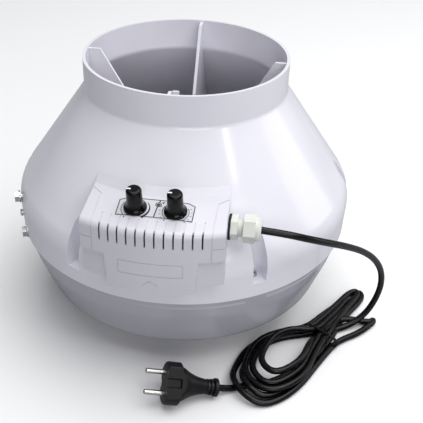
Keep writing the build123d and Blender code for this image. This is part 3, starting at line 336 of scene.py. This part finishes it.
zinc_steel = metal("zinc_plated_steel", "#9fa1a4", "#c3c4c4", 0.22, 0.34)
motor_steel = metal("machined_steel", "#85878a", "#a3a4a6", 0.28, 0.4, (1.0, 1.0, 8.0))
motor_aluminium = metal("cast_aluminium", "#a5a7a9", "#babcbd", 0.35, 0.5)
winding_copper = metal("enamelled_copper", "#8f4a22", "#b3652f", 0.25, 0.36, (1.0, 1.0, 14.0))
pin_nickel = metal("nickel_plate", "#b3b0ab", "#cfccc6", 0.14, 0.22)
print("metals made")

# %% [markdown]
# ## Finishes on the CAD pieces
# Every CAD piece is a node of the imported part, so a table from finish to names dresses them all.

# %% Dress the CAD pieces
FINISHES = [
    ("casing_white", casing_plastic, ["outlet_casing"]),
    # The inlet casing wears the painted-shade copy of the casing plastic.
    ("casing_white", bowl_painted_shade_plastic, ["inlet_casing"]),
    ("box_white", box_painted_shade_plastic, ["control_box_cover", "control_box_base"]),
    ("impeller_plastic", impeller_plastic, ["inlet_nozzle", "impeller_backplate", "impeller_blades",
                                            "impeller_shroud"]),
    ("dial_print", painted_shade_label_film, ["dial_label"]),
    ("knob_black", knob_plastic, ["speed_knob", "temperature_knob"]),
    ("pointer_white", pointer_paint, ["speed_pointer", "temperature_pointer"]),
    ("lens_plastic", lens_plastic, ["indicator_lens"]),
    ("nylon", gland_nylon, ["gland_body", "gland_nut", "gland_locknut", "lead_clip", "terminal_block"]),
    ("rubber_black", gasket_rubber, ["gland_gasket", "gland_seal", "lead_grommet"]),
    ("zinc_steel", zinc_steel, ["casing_screws", "nozzle_screws", "motor_screws", "motor_washers",
                                "base_screws", "bracket_bolts", "bracket_nuts", "bracket_screw",
                                "bracket_washers", "speed_nut", "temperature_nut",
                                "speed_potentiometer", "temperature_potentiometer"]),
    ("motor_steel", motor_steel, ["rotor_shaft", "rotor_can", "stator_core", "upper_bearing",
                                  "lower_bearing", "impeller_rivets"]),
    ("motor_aluminium", motor_aluminium, ["stator_flange", "rotor_cage", "speed_shaft",
                                          "temperature_shaft"]),
    ("copper", winding_copper, ["stator_windings"]),
    ("board_green", board_laminate, ["circuit_board"]),
    ("capacitor_black", capacitor_plastic, ["capacitor"]),
    ("cord_pvc", cord_pvc, ["motor_lead"]),
    ("pin_steel", pin_nickel, ["plug_pins"]),
]


def wear(piece, material):
    """Gives a piece its one material."""
    piece.data.materials.clear()
    piece.data.materials.append(material)


for slot_name, material, names in FINISHES:
    for name in names:
        wear(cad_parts[name], material)
print("dressed", sum(len(names) for _, _, names in FINISHES), "pieces")


# %% [markdown]
# ## Helpers for made pieces
# New meshes are built from points with `from_pydata`. One helper links a mesh, shades it smooth up to an
# angle, and gives it its finish.

# %% Mesh helper
SMOOTH_ANGLE = math.radians(35)


def make_piece(name, points, faces, material, smooth=True):
    """Mesh object from points in metres, with a finish."""
    mesh = bpy.data.meshes.new(name)
    mesh.from_pydata(points, [], faces)
    mesh.validate()
    shaped = bmesh.new()
    shaped.from_mesh(mesh)
    bmesh.ops.recalc_face_normals(shaped, faces=shaped.faces)
    shaped.to_mesh(mesh)
    shaped.free()
    if smooth:
        mesh.shade_smooth()
        mesh.set_sharp_from_angle(angle=SMOOTH_ANGLE)
    piece = bpy.data.objects.new(name, mesh)
    bpy.context.collection.objects.link(piece)
    wear(piece, material)
    return piece


# %% [markdown]
# ## Dial label marks
# The marks on the label are ink on a film that follows the box's curved top. Text objects or an image could
# carry print, but plain raised ink shapes keep the marks free of lettering and export as geometry. A mark is
# a ribbon laid on the label: each point is lifted on to the cone that the label follows.

# %% Ink ribbons on the label
RIDGE_R, RIDGE_Z = 137.0, 192.2
PANEL_TILT = math.radians(11.93)
KNOB_Y = -153.4
KNOB_X = 17.4
INK_LOW, INK_HIGH = 0.26, 0.40          # ink under and over the film's face


def on_label(across, back, lift):
    """Point in metres on the label, from its distance across and towards the back of the box."""
    x = across
    y = KNOB_Y + back * math.cos(PANEL_TILT)
    z = RIDGE_Z + (RIDGE_R - math.hypot(x, y)) * math.tan(PANEL_TILT) + lift
    return x * MM, y * MM, z * MM


def ribbon(name, path, widths, closed=False):
    """Ink line along a path on the label, with a width at each point."""
    points, faces = [], []
    count = len(path)
    for i, (u, v) in enumerate(path):
        before = path[i - 1] if closed or i else path[i]
        after = path[(i + 1) % count] if closed or i < count - 1 else path[i]
        run = Vector((after[0] - before[0], after[1] - before[1])).normalized()
        side = Vector((-run.y, run.x)) * widths[i] / 2
        if closed:
            first = Vector((u - before[0], v - before[1])).normalized()
            last = Vector((after[0] - u, after[1] - v)).normalized()
            side = side / max(math.cos(first.angle(last) / 2), 0.5)
        for sign in (-1, 1):
            for lift in (INK_LOW, INK_HIGH):
                points.append(on_label(u + sign * side.x, v + sign * side.y, lift))
    for i in range(count if closed else count - 1):
        a, b = 4 * i, 4 * ((i + 1) % count)
        for j, k in ((0, 1), (1, 3), (3, 2), (2, 0)):
            faces.append((a + j, a + k, b + k, b + j))
    if not closed:
        end = 4 * (count - 1)
        faces += [(0, 2, 3, 1), (end, end + 1, end + 3, end + 2)]
    piece = make_piece(name, points, faces, label_ink, smooth=False)
    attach(piece, "housing")
    return piece


def arc_path(centre, radius, start, end, steps=28):
    """Points on an arc of the label, by angle in degrees."""
    angles = [math.radians(start + (end - start) * i / steps) for i in range(steps + 1)]
    return [(centre + radius * math.cos(a), radius * math.sin(a)) for a in angles]


def line_path(start, end, steps=12):
    """Points on a straight mark."""
    return [(start[0] + (end[0] - start[0]) * i / steps, start[1] + (end[1] - start[1]) * i / steps)
            for i in range(steps + 1)]


LABEL_X, LABEL_FRONT, LABEL_BACK = 32.7, -8.9, 12.0
corners = [(-LABEL_X, LABEL_FRONT), (LABEL_X, LABEL_FRONT), (LABEL_X, LABEL_BACK - 3.0),
           (LABEL_X - 6.0, LABEL_BACK), (-LABEL_X + 6.0, LABEL_BACK), (-LABEL_X, LABEL_BACK - 3.0)]
border = []
for here, there in zip(corners, corners[1:] + corners[:1]):
    border += line_path(here, there)[:-1]
ribbon("label_border", border, [0.8] * len(border), closed=True)
ribbon("label_divider_front", line_path((0, LABEL_FRONT), (1.0, 4.2)), [1.0] * 13)
ribbon("label_divider_back", line_path((1.9, 8.9), (2.2, LABEL_BACK)), [1.0] * 13)
lamp_ring = arc_path(1.5, 2.4, 0, 345, 24)
ribbon("label_lamp_ring", [(u, v + 6.5) for u, v in lamp_ring], [0.7] * 25, closed=True)
ribbon("speed_arc_thin", arc_path(-KNOB_X, 12.2, 232, 140), [0.6] * 29)
ribbon("speed_arc_thick", arc_path(-KNOB_X, 12.2, 40, -55), [0.5 + 1.9 * i / 28 for i in range(29)])
ribbon("temperature_arc_left", arc_path(KNOB_X, 11.4, 235, 150), [0.6] * 29)
ribbon("temperature_arc_right", arc_path(KNOB_X, 11.4, 30, -55), [0.6] * 29)
ribbon("label_arrow", line_path((4.6, 8.6), (6.4, 10.4), 2), [2.0, 1.2, 0.4])
print("label marks", 9)

# %% [markdown]
# ### Ticks
# A dial's ticks repeat round a circle, which Geometry Nodes do well: a line of points is bent on to an arc,
# and a small block is put on each point, turned to face the centre. The tree's sizes are named inputs, so
# one tree makes both dials' ticks.

# %% Geometry Nodes tree for ticks
def float_input(tree, name, value):
    """Named size input of a Geometry Nodes tree."""
    tree.interface.new_socket(name, in_out="INPUT", socket_type="NodeSocketFloat").default_value = value


def make_tick_tree():
    """Blocks spaced round an arc, each pointing at its centre."""
    tree = bpy.data.node_groups.new("tick_ring", "GeometryNodeTree")
    tree.interface.new_socket("Geometry", in_out="INPUT", socket_type="NodeSocketGeometry")
    tree.interface.new_socket("Geometry", in_out="OUTPUT", socket_type="NodeSocketGeometry")
    count = tree.interface.new_socket("Count", in_out="INPUT", socket_type="NodeSocketInt")
    count.default_value = 7
    for name, value in (("Radius", 12.0), ("Start", 0.0), ("Step", 0.3), ("Length", 1.6), ("Width", 0.6),
                        ("Height", 0.3)):
        float_input(tree, name, value)
    tree.interface.new_socket("Finish", in_out="INPUT", socket_type="NodeSocketMaterial")
    given = add_node(tree, "NodeGroupInput")
    row = add_node(tree, "GeometryNodeMeshLine", links={"Count": given.outputs["Count"]})
    index = add_node(tree, "GeometryNodeInputIndex")
    angle = add_node(tree, "ShaderNodeMath", {"operation": "MULTIPLY_ADD"}, links={
        0: index.outputs["Index"], 1: given.outputs["Step"], 2: given.outputs["Start"]})
    cosine = add_node(tree, "ShaderNodeMath", {"operation": "COSINE"}, links={0: angle.outputs[0]})
    sine = add_node(tree, "ShaderNodeMath", {"operation": "SINE"}, links={0: angle.outputs[0]})
    direction = add_node(tree, "ShaderNodeCombineXYZ", links={"X": cosine.outputs[0], "Y": sine.outputs[0]})
    place = add_node(tree, "ShaderNodeVectorMath", {"operation": "SCALE"}, links={
        "Vector": direction.outputs[0], "Scale": given.outputs["Radius"]})
    bent = add_node(tree, "GeometryNodeSetPosition", links={
        "Geometry": row.outputs["Mesh"], "Position": place.outputs["Vector"]})
    size = add_node(tree, "ShaderNodeCombineXYZ", links={
        "X": given.outputs["Length"], "Y": given.outputs["Width"], "Z": given.outputs["Height"]})
    block = add_node(tree, "GeometryNodeMeshCube", links={"Size": size.outputs[0]})
    turn = add_node(tree, "ShaderNodeCombineXYZ", links={"Z": angle.outputs[0]})
    spread = add_node(tree, "GeometryNodeInstanceOnPoints", links={
        "Points": bent.outputs["Geometry"], "Instance": block.outputs["Mesh"], "Rotation": turn.outputs[0]})
    real = add_node(tree, "GeometryNodeRealizeInstances", links={"Geometry": spread.outputs["Instances"]})
    inked = add_node(tree, "GeometryNodeSetMaterial", links={
        "Geometry": real.outputs["Geometry"], "Material": given.outputs["Finish"]})
    add_node(tree, "NodeGroupOutput", links={"Geometry": inked.outputs["Geometry"]})
    return tree


def run_tree(name, tree, values, material):
    """Runs a Geometry Nodes tree with its named inputs and returns the result as a plain mesh piece."""
    holder = bpy.data.objects.new(name, bpy.data.meshes.new(name))
    bpy.context.collection.objects.link(holder)
    modifier = holder.modifiers.new("nodes", "NODES")
    modifier.node_group = tree
    sockets = {item.name: item.identifier for item in tree.interface.items_tree
               if item.item_type == "SOCKET" and item.in_out == "INPUT"}
    for key, value in values.items():
        modifier[sockets[key]] = value
    modifier[sockets["Finish"]] = material
    bpy.context.view_layer.update()
    shown = holder.evaluated_get(bpy.context.evaluated_depsgraph_get())
    plain = bpy.data.meshes.new_from_object(shown)
    holder.modifiers.remove(modifier)
    holder.data = plain
    plain.name = name
    wear(holder, material)
    return holder


tick_tree = make_tick_tree()
for name, centre, first in (("speed_ticks", -KNOB_X, 235.0), ("temperature_ticks_left", KNOB_X, 233.0),
                            ("temperature_ticks_right", KNOB_X, 24.0)):
    ticks = run_tree(name, tick_tree, {
        "Count": 5 if centre > 0 else 2, "Radius": 13.6, "Start": math.radians(first),
        "Step": math.radians(-18.0 if centre > 0 else -100.0), "Length": 1.3, "Width": 0.55,
        "Height": INK_HIGH - INK_LOW}, label_ink)
    for vertex in ticks.data.vertices:
        u, v, height = vertex.co
        vertex.co = on_label(centre + u, v, (INK_LOW + INK_HIGH) / 2 + height)
    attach(ticks, "housing")
    print(name, len(ticks.data.polygons), "faces")

# %% [markdown]
# ## Plug
# A moulded plug is turned about its axis, apart from the two flats that fingers grip. A profile spun round an
# axis gives the turned part, and points of the head that lie beyond the flats are pulled back to them. The
# soft ribs behind the head let the cord bend, so they are rings of the same profile.

# %% Plug body
PLUG_TAIL = Vector((61.7, -174.9, 10.6))
PLUG_NOSE = Vector((13.8, -189.2, 23.4))
PLUG_FLAT = 13.0
PLUG_TURN = 45.0                        # degrees that the plug lies turned about its axis
NOTCH_FLAT, NOTCH_HALF = 10.4, 3.6      # earth notch in the middle of each flat
PLUG_PROFILE = [(0, 0), (0, 7.9), (0.6, 8.7), (3.4, 8.7), (4.1, 8), (4.3, 5.9), (5.7, 5.9), (5.9, 7.6),
                (7.4, 7.6), (7.6, 5.7), (9, 5.7), (9.2, 7.3), (10.8, 7.3), (11.3, 6.7), (14, 7.2),
                (18, 7.9), (22, 9), (26, 10.6), (29.5, 12.4), (32.5, 14.3), (34.6, 15.5), (36.4, 16),
                (37.2, 16.3), (37.6, 18.9), (38.4, 19.8), (49.6, 19.8), (50.9, 19.2), (51.6, 17.6),
                (51.6, 0)]
SPIN_STEPS = 144
HEAD_START = 30.0
NOTCH_START = 38.0

plug_axis = (PLUG_NOSE - PLUG_TAIL).normalized()
flat_way = plug_axis.cross(Vector((0, 0, 1))).normalized()
flat_way.rotate(Matrix.Rotation(math.radians(-PLUG_TURN), 4, plug_axis))
thick_way = plug_axis.cross(flat_way)


def spin_plug():
    """Points and faces of the plug, with its flats."""
    points, faces = [], []
    for reach, radius in PLUG_PROFILE:
        for step in range(SPIN_STEPS):
            angle = 2 * math.pi * step / SPIN_STEPS
            wide, thick = radius * math.cos(angle), radius * math.sin(angle)
            if reach > HEAD_START:
                flat = NOTCH_FLAT if abs(wide) < NOTCH_HALF and reach > NOTCH_START else PLUG_FLAT
                thick = max(-flat, min(flat, thick))
            place = PLUG_TAIL + plug_axis * reach + flat_way * wide + thick_way * thick
            points.append(place * MM)
    for ring in range(len(PLUG_PROFILE) - 1):
        for step in range(SPIN_STEPS):
            a, b = ring * SPIN_STEPS + step, ring * SPIN_STEPS + (step + 1) % SPIN_STEPS
            faces.append((a, b, b + SPIN_STEPS, a + SPIN_STEPS))
    return points, faces


plug_points, plug_faces = spin_plug()
plug = make_piece("moulded_plug", plug_points, plug_faces, plug_pvc)
weld = bmesh.new()
weld.from_mesh(plug.data)
bmesh.ops.remove_doubles(weld, verts=weld.verts, dist=1e-6)
bmesh.ops.dissolve_degenerate(weld, edges=weld.edges, dist=1e-7)
weld.to_mesh(plug.data)
weld.free()
print("plug faces", len(plug.data.polygons))

# %% [markdown]
# ## Tie
# The hank is held by a short length of plastic-coated wire, passed twice round the bundle, its ends twisted
# together. A closed curve with a round bevel is the ring, and a helix makes the twist.

# %% Wire tie
TIE_R = 0.9
TIE_TOP = 14.6
TIE_HALF = 20.4
TIE_MIDDLE = 4.6
RING_STEPS = 40


def tie_ring(along, lean):
    """Squarish ring round the bundle at the tie."""
    ring = []
    for step in range(RING_STEPS):
        angle = 2 * math.pi * step / RING_STEPS
        c, s = math.cos(angle), math.sin(angle)
        bulge = (abs(c) ** 2.6 + abs(s) ** 2.6) ** (-1 / 2.6)
        across = TIE_MIDDLE + TIE_HALF * c * bulge
        height = TIE_TOP / 2 + (TIE_TOP / 2 - TIE_R) * s * bulge + 0.1
        ring.append(hank_point(along + lean * s, across, height))
    return ring


tie_curve = bpy.data.curves.new("cord_tie_wire", "CURVE")
tie_curve.dimensions = "3D"
tie_curve.bevel_depth = TIE_R * MM
tie_curve.bevel_resolution = 3
tie_curve.use_fill_caps = True
for along, lean in ((-1.2, 1.0), (1.2, -0.8)):
    spline = tie_curve.splines.new("POLY")
    ring = tie_ring(along, lean)
    spline.points.add(len(ring) - 1)
    for point, place in zip(spline.points, ring):
        point.co = (*[value * MM for value in place], 1.0)
    spline.use_cyclic_u = True
TWIST_TURNS, TWIST_LENGTH, TWIST_STEPS = 3.0, 9.0, 40
TWIST_START, TWIST_SIDE, TWIST_RISE = -2.0, 8.0, 0.6     # where the twist leaves the tie
for phase in (0.0, math.pi):
    spline = tie_curve.splines.new("POLY")
    spline.points.add(TWIST_STEPS - 1)
    for step, point in enumerate(spline.points):
        share = step / (TWIST_STEPS - 1)
        angle = phase + 2 * math.pi * TWIST_TURNS * share
        place = hank_point(TWIST_START - TWIST_LENGTH * share, TWIST_SIDE + TIE_R * math.cos(angle),
                           TIE_TOP + TWIST_RISE + TIE_R * math.sin(angle))
        point.co = (*[value * MM for value in place], 1.0)
tie = bpy.data.objects.new("cord_tie_wire", tie_curve)
bpy.context.collection.objects.link(tie)
wear(tie, tie_pvc)
wear(mains_cord, cord_pvc)
print("tie splines", len(tie_curve.splines))

# %% [markdown]
# ## Where the soft pieces belong
# Each made piece rides on a body of the part, and stands for the plain CAD solid that it replaces.

# %% Ride and replace
for piece in (mains_cord, plug, tie):
    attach(piece, "housing")
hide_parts("cord_lead", "cord_hank", "cord_tail")
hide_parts("plug_body")
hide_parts("cord_tie")

# %% [markdown]
# ## Floor and light
# White plastic needs large soft lights, so that its form shows as slow changes of grey, with one long
# highlight: a broad light above, a panel at the right, a fill from the front and a small strip that draws
# the highlight. The sky is a plain pale grey. The floor is a stage trick: a Light Path node makes it near
# white to the camera and mid grey to every other ray, so that it does not light the fan from below.

# %% Floor, lights and sky
floor_mesh = bpy.data.meshes.new("floor")
FLOOR_HALF = 6.0
floor_mesh.from_pydata([(x * FLOOR_HALF, y * FLOOR_HALF, 0) for x, y in ((-1, -1), (1, -1), (1, 1), (-1, 1))],
                       [], [(0, 1, 2, 3)])
floor = bpy.data.objects.new("floor", floor_mesh)
bpy.context.collection.objects.link(floor)
floor_paper, paper_tree, paper = start_material("floor_paper")
seen_by = add_node(paper_tree, "ShaderNodeLightPath")
two_tone(paper_tree, paper, seen_by.outputs["Is Camera Ray"], "#aeafb3", "#f4f4f5")
set_values(paper, Roughness=0.9)
floor.data.materials.append(floor_paper)

MIDDLE = Vector((0.0, 0.0, 0.13))


def soft_light(name, place, width, height, power):
    """Rectangular area light aimed at the middle of the fan."""
    lamp = bpy.data.lights.new(name, "AREA")
    lamp.shape = "RECTANGLE"
    lamp.size = width
    lamp.size_y = height
    lamp.energy = power
    light = bpy.data.objects.new(name, lamp)
    light.location = place
    light.rotation_euler = (MIDDLE - Vector(place)).to_track_quat("-Z", "Y").to_euler()
    bpy.context.collection.objects.link(light)


soft_light("top_light", (0.62, 0.05, 2.5), 3.0, 3.0, 80.0)
soft_light("window_light", (1.75, 0.55, 0.62), 0.9, 0.8, 3.2)
soft_light("front_fill", (0.75, -2.1, 1.05), 1.5, 0.9, 13.0)
soft_light("strip_light", (1.28, -0.93, 1.34), 0.13, 0.22, 1.1)
sky = bpy.data.worlds.new("studio")
sky.use_nodes = True
sky.node_tree.nodes["Background"].inputs["Color"].default_value = linear("#eceef2")
sky.node_tree.nodes["Background"].inputs["Strength"].default_value = 0.28
bpy.context.scene.world = sky
bpy.context.scene.view_settings.view_transform = "Standard"
print("lights", 4)
